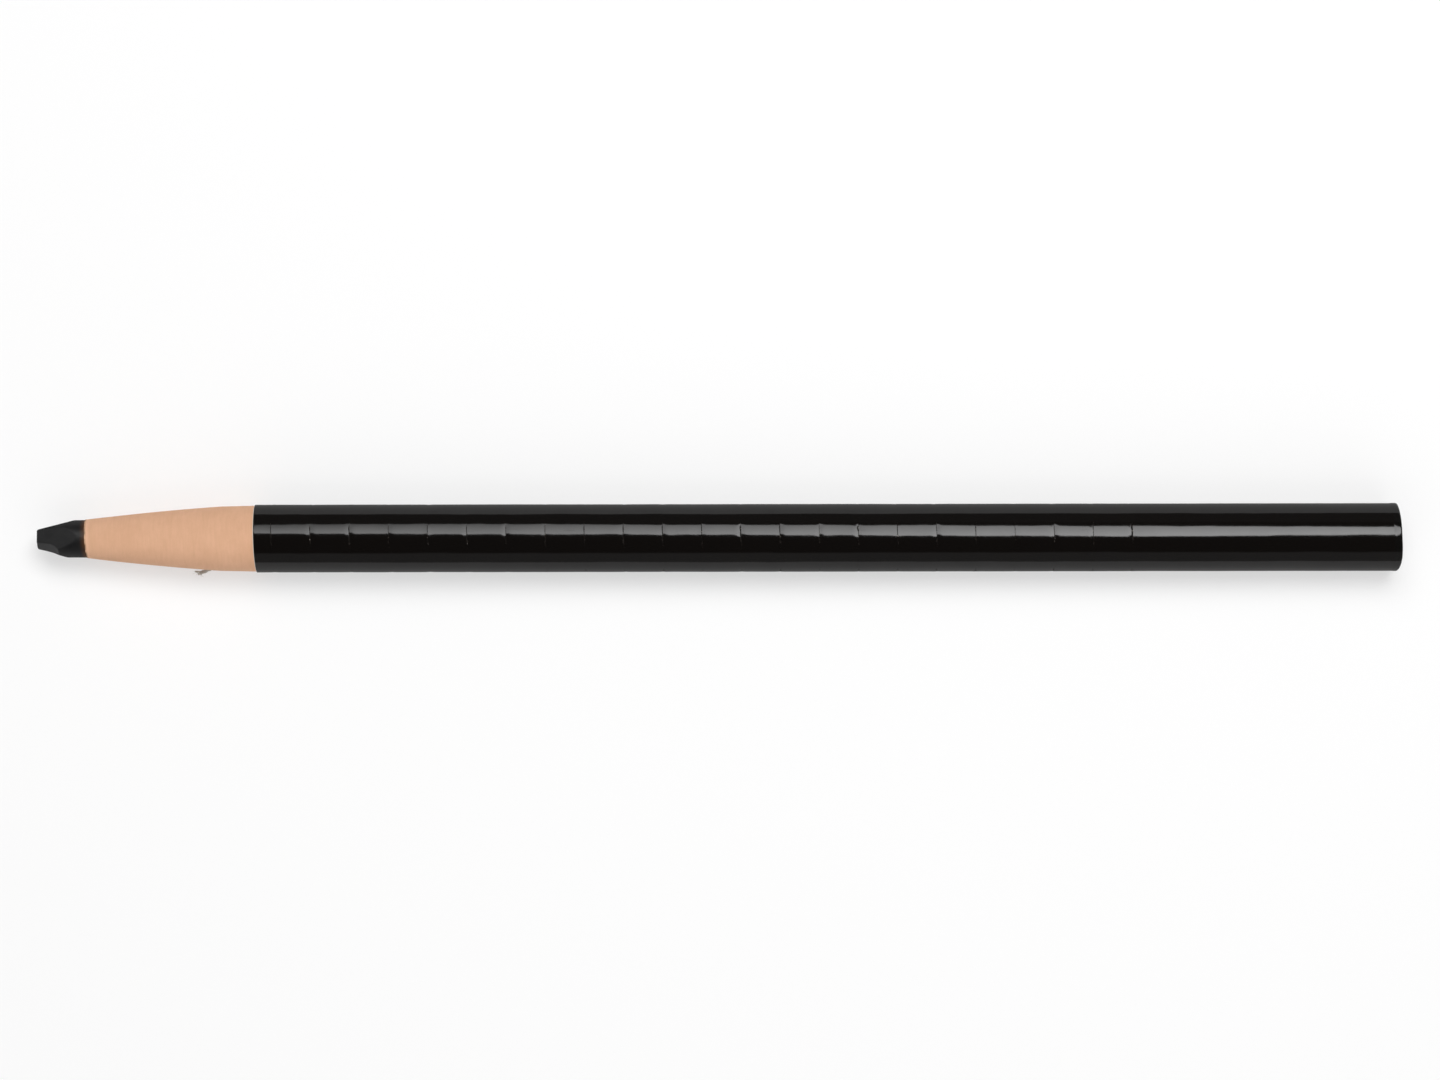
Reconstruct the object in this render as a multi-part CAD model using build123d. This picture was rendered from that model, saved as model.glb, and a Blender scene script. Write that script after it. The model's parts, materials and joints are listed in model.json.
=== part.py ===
from build123d import *
import math
import os

# Paper-wrapped china marker lying on its side, in millimetres.
# +X runs from the writing tip to the sealed rear end, +Z is up, and the
# origin is on the table under the middle of the marker's length.

# Overall
overall_length = 177.8
barrel_diameter = 8.9

# Wax core and its whittled point
core_diameter = 4.9
core_clearance = 0.01
tip_edge_radius = 0.15
exposed_core = 6.4

# Knife cuts at the point: turn from straight up towards the string's side,
# distance from the axis at the tip, and slope in degrees
tip_cuts = [
    (-6.0, 1.15, 14.0),
    (47.0, 1.37, 17.0),
    (92.0, 1.33, 12.0),
    (137.0, 1.48, 13.5),
    (183.0, 1.20, 13.5),
    (228.0, 1.50, 13.0),
    (268.0, 1.16, 14.0),
    (314.0, 1.44, 13.5),
]

# Wound paper and its sanded taper
lip_thickness = 0.06
taper_length = 17.6
taper_bulge = 0.12
taper_cuts = 2
land_length = 4.5
land_drop = 0.09

# Label and its rows of slits
label_thickness = 0.12
label_clearance = 0.02
front_band_length = 2.4
collar_pitch = 5.08
slit_zone_length = 112.0
slits_per_row = 4
slit_length = 3.2
slit_width = 0.16

# Tear string in its groove, and its free end
string_diameter = 0.55
string_clearance = 0.03
string_angle = 105.0
tail_lead = 0.8
tail_length = 8.1
tail_rise = 3.5

# Dipped end
lacquer_thickness = 0.35
lacquer_skirt = 1.2
lacquer_corner_radius = 0.6
lacquer_corner_cuts = 2

# Stations along the axis
tip_x = -overall_length / 2
rear_x = overall_length / 2
paper_front_x = tip_x + exposed_core
taper_rear_x = paper_front_x + taper_length
label_front_x = taper_rear_x + land_length
first_row_x = label_front_x + front_band_length
collar_count = int(slit_zone_length // collar_pitch)
last_row_x = first_row_x + collar_count * collar_pitch
paper_rear_x = rear_x - lacquer_thickness
skirt_x = rear_x - lacquer_skirt

# Radii from the axis outwards
barrel_radius = barrel_diameter / 2
label_bore_radius = barrel_radius - label_thickness
paper_radius = label_bore_radius - label_clearance
core_radius = core_diameter / 2
paper_bore_radius = core_radius + core_clearance
string_radius = string_diameter / 2
string_depth = paper_radius - string_radius
groove_radius = string_radius + string_clearance
tail_pivot_x = label_front_x - tail_lead
string_front_x = tail_pivot_x + string_radius + string_clearance


def turned(profile):
    """Solid of revolution about the marker's axis."""
    return revolve(Plane.XZ * profile, Axis.X)


def tube(front, rear, bore, outer):
    """Round tube along the axis between two stations."""
    ring = Circle(outer) - Circle(bore)
    return extrude(Plane.YZ.offset(front) * ring, rear - front)


def facet_cutter(turn, reach, slope):
    """Block whose flat underside is one knife cut across the tip."""
    cut = Box(
        overall_length,
        barrel_diameter,
        barrel_diameter,
        align=(Align.CENTER, Align.CENTER, Align.MIN),
    )
    place = Pos(tip_x, 0, reach) * Rot(Y=-slope)
    return Rot(X=turn) * place * cut


def make_wax_core():
    stick = extrude(Plane.YZ.offset(tip_x) * Circle(core_radius), paper_rear_x - tip_x)
    for turn, reach, slope in tip_cuts:
        stick -= facet_cutter(turn, reach, slope)
    face_edges = stick.faces().sort_by(Axis.X)[0].edges()
    return fillet(face_edges, tip_edge_radius)


def make_kraft_wrap():
    """Wound paper, sanded to a slightly bulging taper in a few straight cuts."""
    lip_radius = paper_bore_radius + lip_thickness
    rise = paper_radius - land_drop - lip_radius
    shares = [cut / taper_cuts for cut in range(taper_cuts + 1)]
    taper = [
        (
            paper_front_x + taper_length * share,
            lip_radius + rise * share + 4 * taper_bulge * share * (1 - share),
        )
        for share in shares
    ]
    outline = Polyline(
        *taper,
        (label_front_x, paper_radius),
        (paper_rear_x, paper_radius),
        (paper_rear_x, paper_bore_radius),
        (paper_front_x, paper_bore_radius),
        close=True,
    )
    return turned(make_face(outline)) - make_string_groove()


def make_string_groove():
    """Round-bottomed channel that is open to the outside of the paper."""
    length = paper_rear_x - paper_front_x
    floor = extrude(Plane.YZ.offset(paper_front_x) * Pos(0, string_depth) * Circle(groove_radius), length)
    walls = Box(
        length,
        2 * groove_radius,
        barrel_radius - string_depth,
        align=(Align.MIN, Align.CENTER, Align.MIN),
    )
    channel = floor + Pos(paper_front_x, 0, string_depth) * walls
    return Rot(X=string_angle) * channel


def slit_row(station):
    """Knife cuts of one row, spread evenly round the label in front of a station."""
    slit_floor = math.sqrt(label_bore_radius**2 - (slit_length / 2) ** 2) - label_thickness
    blade = Box(
        slit_width,
        slit_length,
        barrel_radius,
        align=(Align.MAX, Align.CENTER, Align.MIN),
    )
    return [
        Rot(X=index * 360 / slits_per_row) * Pos(station, 0, slit_floor) * blade
        for index in range(slits_per_row)
    ]


def make_label(front, rear):
    """Plain stretch of label."""
    return tube(front, rear, label_bore_radius, barrel_radius)


def make_collar(front, rear):
    """Stretch of label that ends in a row of slits, with bridges between them."""
    return make_label(front, rear) - slit_row(rear)


def make_pull_string():
    section = Plane.YZ.offset(string_front_x) * Pos(0, string_depth) * Circle(string_radius)
    return Rot(X=string_angle) * extrude(section, paper_rear_x - string_front_x)


def make_string_tail():
    """Free end that climbs out of the groove, turning about its root in front of the label."""
    root = Plane((tail_pivot_x, 0, string_depth), x_dir=(0, 1, 0), z_dir=(-1, 0, 0))
    strand = extrude(root * Rot(X=tail_rise) * Circle(string_radius), tail_length)
    return Rot(X=string_angle) * strand


def make_end_lacquer():
    """Dipped cap with a softened corner, over the ends of core, paper and label."""
    turns = [math.radians(90 * cut / lacquer_corner_cuts) for cut in range(lacquer_corner_cuts + 1)]
    corner = [
        (
            rear_x - lacquer_corner_radius * (1 - math.sin(turn)),
            barrel_radius - lacquer_corner_radius * (1 - math.cos(turn)),
        )
        for turn in turns
    ]
    outline = Polyline(
        (skirt_x, barrel_radius),
        *corner,
        (rear_x, 0),
        (paper_rear_x, 0),
        (paper_rear_x, label_bore_radius),
        (skirt_x, label_bore_radius),
        close=True,
    )
    return turned(make_face(outline))


nodes = {
    "wax_core": make_wax_core(),
    "kraft_wrap": make_kraft_wrap(),
    "front_band": make_collar(label_front_x, first_row_x),
    "rear_label": make_label(last_row_x, skirt_x),
    "pull_string": make_pull_string(),
    "string_tail": make_string_tail(),
    "end_lacquer": make_end_lacquer(),
}
for number in range(1, collar_count + 1):
    front = first_row_x + (number - 1) * collar_pitch
    nodes[f"collar_{number:02d}"] = make_collar(front, front + collar_pitch)

os.makedirs("parts", exist_ok=True)
for name, shape in nodes.items():
    export_step(Pos(0, 0, barrel_radius) * shape, f"parts/{name}.step")
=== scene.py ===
import json
import math
from types import SimpleNamespace

import bmesh
import bpy
from mathutils import Euler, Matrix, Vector, noise


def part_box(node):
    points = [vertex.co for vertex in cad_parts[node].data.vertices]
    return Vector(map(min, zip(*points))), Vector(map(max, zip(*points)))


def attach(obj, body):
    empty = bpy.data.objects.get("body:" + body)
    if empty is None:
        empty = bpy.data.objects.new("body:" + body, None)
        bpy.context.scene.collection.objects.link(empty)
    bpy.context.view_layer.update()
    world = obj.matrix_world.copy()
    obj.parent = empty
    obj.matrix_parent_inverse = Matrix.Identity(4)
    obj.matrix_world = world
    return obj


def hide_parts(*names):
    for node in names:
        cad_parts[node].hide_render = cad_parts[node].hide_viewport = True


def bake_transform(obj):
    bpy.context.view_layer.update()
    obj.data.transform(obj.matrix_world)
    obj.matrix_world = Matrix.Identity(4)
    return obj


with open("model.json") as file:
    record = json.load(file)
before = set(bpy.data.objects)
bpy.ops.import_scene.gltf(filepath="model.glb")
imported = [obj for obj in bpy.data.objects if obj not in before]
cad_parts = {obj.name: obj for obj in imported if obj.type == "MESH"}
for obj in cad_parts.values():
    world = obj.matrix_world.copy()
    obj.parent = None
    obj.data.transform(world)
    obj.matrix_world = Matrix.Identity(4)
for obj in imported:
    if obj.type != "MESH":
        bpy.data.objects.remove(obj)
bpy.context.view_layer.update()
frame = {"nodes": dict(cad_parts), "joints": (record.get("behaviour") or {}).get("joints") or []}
mm = 0.001

# Stations and radii read from the frame: x runs from the tip to the rear end
coreLow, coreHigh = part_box("wax_core")
paperLow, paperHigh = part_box("kraft_wrap")
labelLow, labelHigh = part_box("rear_label")
lacquerLow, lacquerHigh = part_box("end_lacquer")
tipX = coreLow.x
paperFront = paperLow.x
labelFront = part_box("front_band")[0].x
collarNames = sorted(name for name in frame["nodes"] if name.startswith("collar_"))

barrelRadius = (labelHigh.z - labelLow.z) / 2
axisHeight = labelLow.z + barrelRadius
coreRadius = (coreHigh.z - coreLow.z) / 2
paperRadius = (paperHigh.z - paperLow.z) / 2

# The string's place round the barrel, from the joint at the root of its free end
tailJoint = next(joint for joint in frame["joints"] if joint["name"] == "tail_lift")
pivotX, pivotY, pivotZ = tailJoint["pos_m"]
stringRadial = math.hypot(pivotY, pivotZ - axisHeight)
stringAngle = math.atan2(-pivotY, pivotZ - axisHeight)
print("frame loaded:", len(frame["nodes"]), "nodes,", len(collarNames), "collars")


# Node helpers: a Field is a node's output that can be used in sums

def feed(tree, socket, value):
    if isinstance(value, Field):
        tree.links.new(value.socket, socket)
    else:
        socket.default_value = value


class Field:
    def __init__(self, tree, socket):
        self.tree = tree
        self.socket = socket

    def math(self, operation, *others, clamp=False):
        node = self.tree.nodes.new("ShaderNodeMath")
        node.operation = operation
        node.use_clamp = clamp
        for socket, value in zip(node.inputs, (self, *others)):
            feed(self.tree, socket, value)
        return Field(self.tree, node.outputs[0])

    def vector(self, operation, other):
        node = self.tree.nodes.new("ShaderNodeVectorMath")
        node.operation = operation
        feed(self.tree, node.inputs[0], self)
        feed(self.tree, node.inputs["Scale" if operation == "SCALE" else 1], other)
        return Field(self.tree, node.outputs[0])

    def __add__(self, other):
        return self.math("ADD", other)

    def __sub__(self, other):
        return self.math("SUBTRACT", other)

    def __rsub__(self, other):
        return (self * -1) + other

    def __mul__(self, other):
        return self.math("MULTIPLY", other)

    def __truediv__(self, other):
        return self.math("DIVIDE", other)

    def __rtruediv__(self, other):
        return self.math("POWER", -1.0) * other

    __radd__ = __add__
    __rmul__ = __mul__

    def clamp(self):
        return self.math("ADD", 0.0, clamp=True)

    def ramp(self, low, high):  # 0 below low, 1 above high
        return ((self - low) / (high - low)).clamp()

    def ease(self):  # smooth step of a value between 0 and 1
        return self * self * (3 - 2 * self)


def setSockets(tree, node, values):
    for name, value in values.items():
        feed(tree, node.inputs[name], value)


def addNode(tree, kind, values=None, **settings):
    node = tree.nodes.new(kind)
    for setting, value in settings.items():
        setattr(node, setting, value)
    setSockets(tree, node, values or {})
    return node


def output(node, name=0):
    return Field(node.id_data, node.outputs[name])


def splitVector(vector):
    node = addNode(vector.tree, "ShaderNodeSeparateXYZ", {"Vector": vector})
    return [output(node, axis) for axis in "XYZ"]


def joinVector(tree, x, y, z):
    return output(addNode(tree, "ShaderNodeCombineXYZ", {"X": x, "Y": y, "Z": z}))


def noiseField(tree, vector, scale, detail=2.0, roughness=0.5):
    values = {"Vector": vector, "Scale": scale, "Detail": detail, "Roughness": roughness}
    return output(addNode(tree, "ShaderNodeTexNoise", values))


def randomField(tree, kind, low, high, identity, seed):
    node = addNode(tree, "FunctionNodeRandomValue", data_type=kind)
    values = {"Min": low, "Max": high, "ID": identity, "Seed": seed}
    for socket in node.inputs:
        if socket.enabled and socket.name in values:
            feed(tree, socket, values[socket.name])
    return Field(tree, next(socket for socket in node.outputs if socket.enabled))


def mixColour(tree, share, first, second):
    node = addNode(tree, "ShaderNodeMix", data_type="RGBA")
    feed(tree, node.inputs["Factor"], share)
    for socket, colour in zip([item for item in node.inputs if item.type == "RGBA"], (first, second)):
        feed(tree, socket, colour)
    return Field(tree, next(item for item in node.outputs if item.type == "RGBA"))


def makeTree(name, kind, inputs, outputs):
    tree = bpy.data.node_groups.new(name, kind)
    for direction, sockets in (("INPUT", inputs), ("OUTPUT", outputs)):
        for title, socket in sockets.items():
            tree.interface.new_socket(title, in_out=direction, socket_type="NodeSocket" + socket)
    source = tree.nodes.new("NodeGroupInput")
    given = SimpleNamespace(**{title: Field(tree, source.outputs[title]) for title in inputs})
    return tree, given, tree.nodes.new("NodeGroupOutput")


# Mesh helpers

def makeGeometryTree(name, values):  # one named input for each value, and one for the finish
    kinds = {int: "Int", float: "Float"}
    sizes = {title: kinds[type(value)] for title, value in values.items()}
    inputs = {"geometry": "Geometry", **sizes, "finish": "Material"}
    return makeTree(name, "GeometryNodeTree", inputs, {"geometry": "Geometry"})


def storeField(tree, geometry, name, value, domain="POINT"):
    values = {"Geometry": geometry, "Name": name, "Value": value}
    settings = {"data_type": "FLOAT", "domain": domain}
    return output(addNode(tree, "GeometryNodeStoreNamedAttribute", values, **settings))


def shadeSmooth(tree, geometry):
    return output(addNode(tree, "GeometryNodeSetShadeSmooth", {"Geometry": geometry, "Shade Smooth": True}))


def finishGeometry(tree, geometry, finish, result):
    whole = output(addNode(tree, "GeometryNodeRealizeInstances", {"Geometry": geometry}))
    painted = addNode(tree, "GeometryNodeSetMaterial", {"Geometry": whole, "Material": finish})
    feed(tree, result.inputs["geometry"], output(painted))


def growMesh(name, tree, values, base):
    holder = bpy.data.objects.new(name + "Base", base)
    bpy.context.collection.objects.link(holder)
    modifier = holder.modifiers.new("grow", "NODES")
    modifier.node_group = tree
    sockets = {item.name: item.identifier for item in tree.interface.items_tree if item.in_out == "INPUT"}
    for title, value in values.items():
        modifier[sockets[title]] = value
    depsgraph = bpy.context.evaluated_depsgraph_get()
    mesh = bpy.data.meshes.new_from_object(holder.evaluated_get(depsgraph), depsgraph=depsgraph)
    bpy.data.objects.remove(holder)
    return addPiece(name, mesh)


def addPiece(name, mesh):
    mesh.name = name
    piece = bpy.data.objects.new(name, mesh)
    bpy.context.collection.objects.link(piece)
    return piece


def polar(x, radius, angle):  # angle runs from straight up towards -Y
    return (x, -radius * math.sin(angle), axisHeight + radius * math.cos(angle))


def turnedSkin(name, rings, angles, place, material, poles=False, crease=40.0):
    points = [polar(*place(ring, angle), angle) for ring in rings for angle in angles]
    count = len(angles)
    rows = len(rings)
    faces = []
    for row in range(rows - 1 if poles else rows):
        first = row * count
        second = (row + 1) % rows * count
        for column in range(count):
            after = (column + 1) % count
            faces.append((first + column, first + after, second + after, second + column))
    if poles:
        for row in (0, rows - 1):
            ring = points[row * count:(row + 1) * count]
            middle = sum((Vector(point) for point in ring), Vector()) / count
            points.append(tuple(middle))
            for column in range(count):
                after = (column + 1) % count
                faces.append((row * count + column, row * count + after, len(points) - 1))
    mesh = bpy.data.meshes.new(name)
    mesh.from_pydata(points, [], faces)
    skin = bmesh.new()
    skin.from_mesh(mesh)
    bmesh.ops.recalc_face_normals(skin, faces=skin.faces)
    skin.to_mesh(mesh)
    skin.free()
    mesh.shade_smooth()
    mesh.set_sharp_from_angle(angle=math.radians(crease))
    mesh.materials.append(material)
    return addPiece(name, mesh)


def markPoints(piece, name, values):
    piece.data.attributes.new(name, "FLOAT", "POINT").data.foreach_set("value", values)


def unevenness(x, angle, alongScale, roundScale, seed):
    spot = Vector((x * alongScale + seed, math.cos(angle) * roundScale, math.sin(angle) * roundScale))
    return noise.noise(spot)


def spread(first, last, count):
    return [first + (last - first) * step / count for step in range(count + 1)]


def fullTurn(columns):
    return [math.tau * column / columns for column in range(columns)]


# Shader groups shared by several finishes

grainMix = {                         # scales are against the scale of the clouds
    "fibreScale": 9,
    "fibreStretch": (1.0, 0.16, 0.16),
    "speckScale": 26,
    "cloudTone": 0.45,
    "fibreTone": 0.35,
    "speckTone": 0.2,
    "fibreHeight": 0.6,
    "speckHeight": 0.4,
}
markMix = {                          # scales are against the scale of the patches
    "lineScale": 12,
    "lineStretch": (0.06, 1.0, 1.0),
    "lineLevel": (0.66, 0.72),
    "crossScale": 9,
    "crossStretch": (1.0, 0.1, 0.1),
    "crossLevel": (0.69, 0.74),
    "patchLevel": (0.45, 0.65),
    "smudgeLevel": (0.4, 0.75),
}


def objectPoint(tree):
    return output(addNode(tree, "ShaderNodeTexCoord"), "Object")


def stretched(tree, vector, scale):
    return output(addNode(tree, "ShaderNodeMapping", {"Vector": vector, "Scale": scale}), "Vector")


def makeShaderGroup(name, inputs, outputs):
    given = {title: "Float" for title in inputs}
    made = {title: "Float" for title in outputs}
    return makeTree(name, "ShaderNodeTree", given, made)


def makePaperGrain(mix):
    tree, given, result = makeShaderGroup("paperGrain", ("scale", "contrast"), ("tone", "height"))
    point = objectPoint(tree)
    drawn = stretched(tree, point, mix["fibreStretch"])
    cloud = noiseField(tree, point, given.scale, detail=4.0, roughness=0.6)
    fibre = noiseField(tree, drawn, given.scale * mix["fibreScale"], detail=3.0, roughness=0.65)
    speck = noiseField(tree, point, given.scale * mix["speckScale"], detail=2.0, roughness=0.7)
    tone = cloud * mix["cloudTone"] + fibre * mix["fibreTone"] + speck * mix["speckTone"]
    setSockets(tree, result, {
        "tone": (tone - 0.5) * given.contrast + 0.5,
        "height": fibre * mix["fibreHeight"] + speck * mix["speckHeight"],
    })
    return tree


def makeHandlingMarks(mix):
    tree, given, result = makeShaderGroup("handlingMarks", ("scale", "amount"), ("marks", "smudge"))
    point = objectPoint(tree)
    lengthwise = stretched(tree, point, mix["lineStretch"])
    crosswise = stretched(tree, point, mix["crossStretch"])
    lines = noiseField(tree, lengthwise, given.scale * mix["lineScale"], detail=2.0, roughness=0.6)
    cross = noiseField(tree, crosswise, given.scale * mix["crossScale"], detail=2.0, roughness=0.6)
    patch = noiseField(tree, point, given.scale, detail=3.0, roughness=0.6)
    scratch = lines.ramp(*mix["lineLevel"]) + cross.ramp(*mix["crossLevel"])
    setSockets(tree, result, {
        "marks": (scratch * patch.ramp(*mix["patchLevel"]) * given.amount).clamp(),
        "smudge": patch.ramp(*mix["smudgeLevel"]) * given.amount,
    })
    return tree


paperGrain = makePaperGrain(grainMix)
handlingMarks = makeHandlingMarks(markMix)


def placeGroup(tree, group, values):
    return addNode(tree, "ShaderNodeGroup", values, node_tree=group)


def newFinish(name):
    material = bpy.data.materials.new(name)
    material.use_nodes = True
    return material, material.node_tree, material.node_tree.nodes["Principled BSDF"]


def bumpNormal(tree, height, distance):
    return output(addNode(tree, "ShaderNodeBump", {"Height": height, "Distance": distance}), "Normal")


def attributeField(tree, name):
    return output(addNode(tree, "ShaderNodeAttribute", attribute_name=name), "Fac")


# Clear films over the black finishes

varnish = {
    "weight": 0.25,
    "ior": 2.0,
    "roughness": 0.10,
    "inkRoughness": 0.12,            # roughness of the black under it
    "markWear": 0.3,                 # how far handling marks and smudges dull it
    "smudgeWear": 0.1,
}
waxSheen = {"weight": 0.21, "ior": 2.0, "roughness": 0.44}


def addFilm(tree, shader, film, cover, normal):
    setSockets(tree, shader, {
        "Specular IOR Level": 0.0,
        "Coat IOR": film["ior"],
        "Coat Roughness": film["roughness"],
        "Coat Weight": cover * film["weight"],
        "Coat Normal": normal,
    })


def varnishWear(marks):
    return output(marks, "marks") * varnish["markWear"] + output(marks, "smudge") * varnish["smudgeWear"]


# Wound paper, sanded to a taper, with the string's groove along one side

kraft = {
    "lipThickness": 0.06 * mm,
    "boreClearance": 0.01 * mm,
    "taperLength": 17.6 * mm,
    "taperBulge": 0.12 * mm,
    "landDrop": 0.09 * mm,
    "lipSlant": 0.14 * mm,           # the front edge sits further back on the string side
    "lipRagged": 0.05 * mm,
    "lipNoise": (1.0, 3.5, 4.1),     # waves along and round, and seed
    "lipFade": 3.0 * mm,
    "waver": 0.014 * mm,
    "waverNoise": (260.0, 1.6, 9.7),
    "grooveHalfWidth": 0.305 * mm,
    "grooveInside": 0.999,           # where the groove's columns end, against its wall
    "grooveOutside": 1.02,           # and where the others start
    "sealDepth": 0.15 * mm,          # how far core, paper and string reach into the dipped end
    "taperRings": 72,
    "coveredRings": 48,
    "coarseColumns": 132,
    "grooveColumns": 18,
}
kraftLook = {
    "grain": {"scale": 330.0, "contrast": 1.6},
    "tanShade": (0.600, 0.336, 0.200, 1),
    "tanLight": (0.795, 0.481, 0.314, 1),
    "grainTone": 0.86,
    "grainHeight": 0.6,
    "layerThickness": 0.11 * mm,     # layers of the wound strip, cut through by the sanding
    "layerEdge": (0.40, 0.5),
    "layerTone": 0.06,
    "layerHeight": 0.25,
    "sandingScale": 5200.0,
    "sandingStretch": (1.0, 0.03, 0.03),
    "sandingTone": 0.16,
    "sandingHeight": 0.25,
    "lipShadeColour": (0.05, 0.03, 0.022, 1),
    "lipShadeFade": (0.02 * mm, 0.22 * mm),     # painted shade on the lip at its joint with the wax, by distance from it
    "lipShadeScale": 1600.0,
    "lipShadeLevel": (0.38, 0.62),
    "lipShadeShare": 0.8,
    "featherColour": (0.81, 0.53, 0.36, 1),
    "featherRise": (0.10 * mm, 0.25 * mm),   # paler feather edge behind the painted shade
    "featherFade": (0.35 * mm, 0.65 * mm),
    "featherShare": 0.35,
    "roughness": 0.62,
    "grainRoughness": 0.2,
    "gloss": 0.15,
    "bumpDepth": 0.010 * mm,
}
sealX = lacquerLow.x + kraft["sealDepth"]
paperBore = coreRadius + kraft["boreClearance"]


def makeKraftPaper(look):
    material, tree, shader = newFinish("kraftPaper")
    grain = placeGroup(tree, paperGrain, look["grain"])
    grainTone = output(grain, "tone")
    point = objectPoint(tree)
    _, y, z = splitVector(point)
    up = z - axisHeight
    radius = (y * y + up * up).math("SQRT")
    turn = y.math("ARCTAN2", up) / math.tau
    layer = (radius / look["layerThickness"] + turn).math("FRACT")
    layerLine = (layer - 0.5).math("ABSOLUTE").ramp(*look["layerEdge"])
    drawn = stretched(tree, point, look["sandingStretch"])
    sanding = noiseField(tree, drawn, look["sandingScale"], detail=3.0, roughness=0.7)
    tone = grainTone * look["grainTone"] + sanding * look["sandingTone"] - layerLine * look["layerTone"]
    tan = mixColour(tree, tone.clamp(), look["tanShade"], look["tanLight"])
    fromLip = attributeField(tree, "fromLip")
    feather = fromLip.ramp(*look["featherRise"]) * (1 - fromLip.ramp(*look["featherFade"]))
    feathered = mixColour(tree, feather * look["featherShare"], tan, look["featherColour"])
    # Painted shade in patches along the lip, where it meets the wax
    patch = noiseField(tree, point, look["lipShadeScale"], detail=3.0).ramp(*look["lipShadeLevel"])
    lipShade = (1 - fromLip.ramp(*look["lipShadeFade"])) * patch * look["lipShadeShare"]
    height = output(grain, "height") * look["grainHeight"] + sanding * look["sandingHeight"]
    setSockets(tree, shader, {
        "Base Color": mixColour(tree, lipShade, feathered, look["lipShadeColour"]),
        "Roughness": grainTone * look["grainRoughness"] + look["roughness"],
        "Specular IOR Level": look["gloss"],
        "Normal": bumpNormal(tree, height - layerLine * look["layerHeight"], look["bumpDepth"]),
    })
    return material


def paperSurface(x):
    share = (x - paperFront) / kraft["taperLength"]
    lip = paperBore + kraft["lipThickness"]
    rise = paperRadius - kraft["landDrop"] - lip
    if share < 1:
        return lip + rise * share + 4 * kraft["taperBulge"] * share * (1 - share)
    landLength = labelFront - paperFront - kraft["taperLength"]
    return paperRadius - kraft["landDrop"] * max(0.0, (labelFront - x) / landLength)


def grooveFloor(angle):
    aside = paperRadius * math.sin(angle - stringAngle)
    if math.cos(angle - stringAngle) < 0 or abs(aside) >= kraft["grooveHalfWidth"]:
        return math.inf
    drop = math.sqrt(kraft["grooveHalfWidth"] ** 2 - aside ** 2)
    return (stringRadial - drop) / math.cos(angle - stringAngle)


def lipShift(angle):
    ragged = kraft["lipRagged"] * unevenness(0.0, angle, *kraft["lipNoise"])
    return kraft["lipSlant"] * math.sin(angle) + ragged


def placePaper(ring, angle):
    x, side = ring
    fade = max(0.0, 1 - (x - paperFront) / kraft["lipFade"])
    shift = lipShift(angle) * fade
    if side == "bore":
        return x + shift, paperBore
    waver = kraft["waver"] * (unevenness(x, angle, *kraft["waverNoise"]) - 1) / 2
    return x + shift, min(paperSurface(x) + waver * (1 - fade), grooveFloor(angle))


def makeKraftWrap(material):
    wall = math.asin(kraft["grooveHalfWidth"] / paperRadius)
    inside = wall * kraft["grooveInside"]
    outside = wall * kraft["grooveOutside"]
    groove = spread(-inside, inside, kraft["grooveColumns"])
    coarse = spread(outside, math.tau - outside, kraft["coarseColumns"])
    angles = [stringAngle + turn for turn in groove + coarse]
    front = spread(paperFront, labelFront, kraft["taperRings"])
    covered = spread(labelFront, sealX, kraft["coveredRings"])[1:]
    rings = [(x, "outer") for x in front + covered]
    rings += [(x, "bore") for x in (sealX, labelFront, paperFront)]
    piece = turnedSkin("kraftWrap", rings, angles, placePaper, material)
    markPoints(piece, "fromLip", [x - paperFront for x, _ in rings for _ in angles])
    return piece


# Wax core with a whittled, blunt point

wax = {
    # Knife cuts: turn from straight up towards -Y in degrees, reach at the tip, slope,
    # start and bend of the scoop, and how freshly cut the wax looks, which on the 47 degree cut is a
    # painted highlight
    "cuts": [
        (-6, 1.15 * mm, 0.250, 0.0, 0.0, 0.45),
        # fully fresh: a highlight is painted along this cut
        (47, 1.17 * mm, 0.250, 1.7 * mm, 0.33 / mm, 1.0),
        (92, 1.33 * mm, 0.200, 0.5 * mm, 0.028 / mm, 0.35),
        (137, 1.48 * mm, 0.240, 0.0, 0.0, 0.45),
        (183, 1.20 * mm, 0.240, 0.0, 0.0, 0.45),
        (228, 1.50 * mm, 0.230, 0.0, 0.0, 0.40),
        (268, 1.16 * mm, 0.247, 2.8 * mm, 0.028 / mm, 0.30),
        (314, 1.58 * mm, 0.240, 0.0, 0.0, 0.12),
    ],
    "endFreshness": 0.45,
    "leastFacing": 0.2,              # a cut that faces further away than this is skipped
    "ridgeSoftness": 0.022 * mm,
    "edgeRound": 0.28 * mm,
    "waver": 0.012 * mm,
    "waverNoise": (900.0, 2.2, 2.9),  # waves along and round, and seed
    "waverSink": 0.6,                # keeps the waver mostly below the cut
    "waverFade": 3.0,
    "exposedLength": 6.8 * mm,
    "waxLipShadeReach": 0.75 * mm,         # painted shade of the paper's lip, in brown on the wax in front of it
    "faceShares": (0.05, 0.3, 0.55, 0.8),
    "rearShare": 0.1,
    "edgeRings": 8,
    "exposedRings": 84,
    "columns": 180,
    "crease": 60.0,
}
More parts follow.
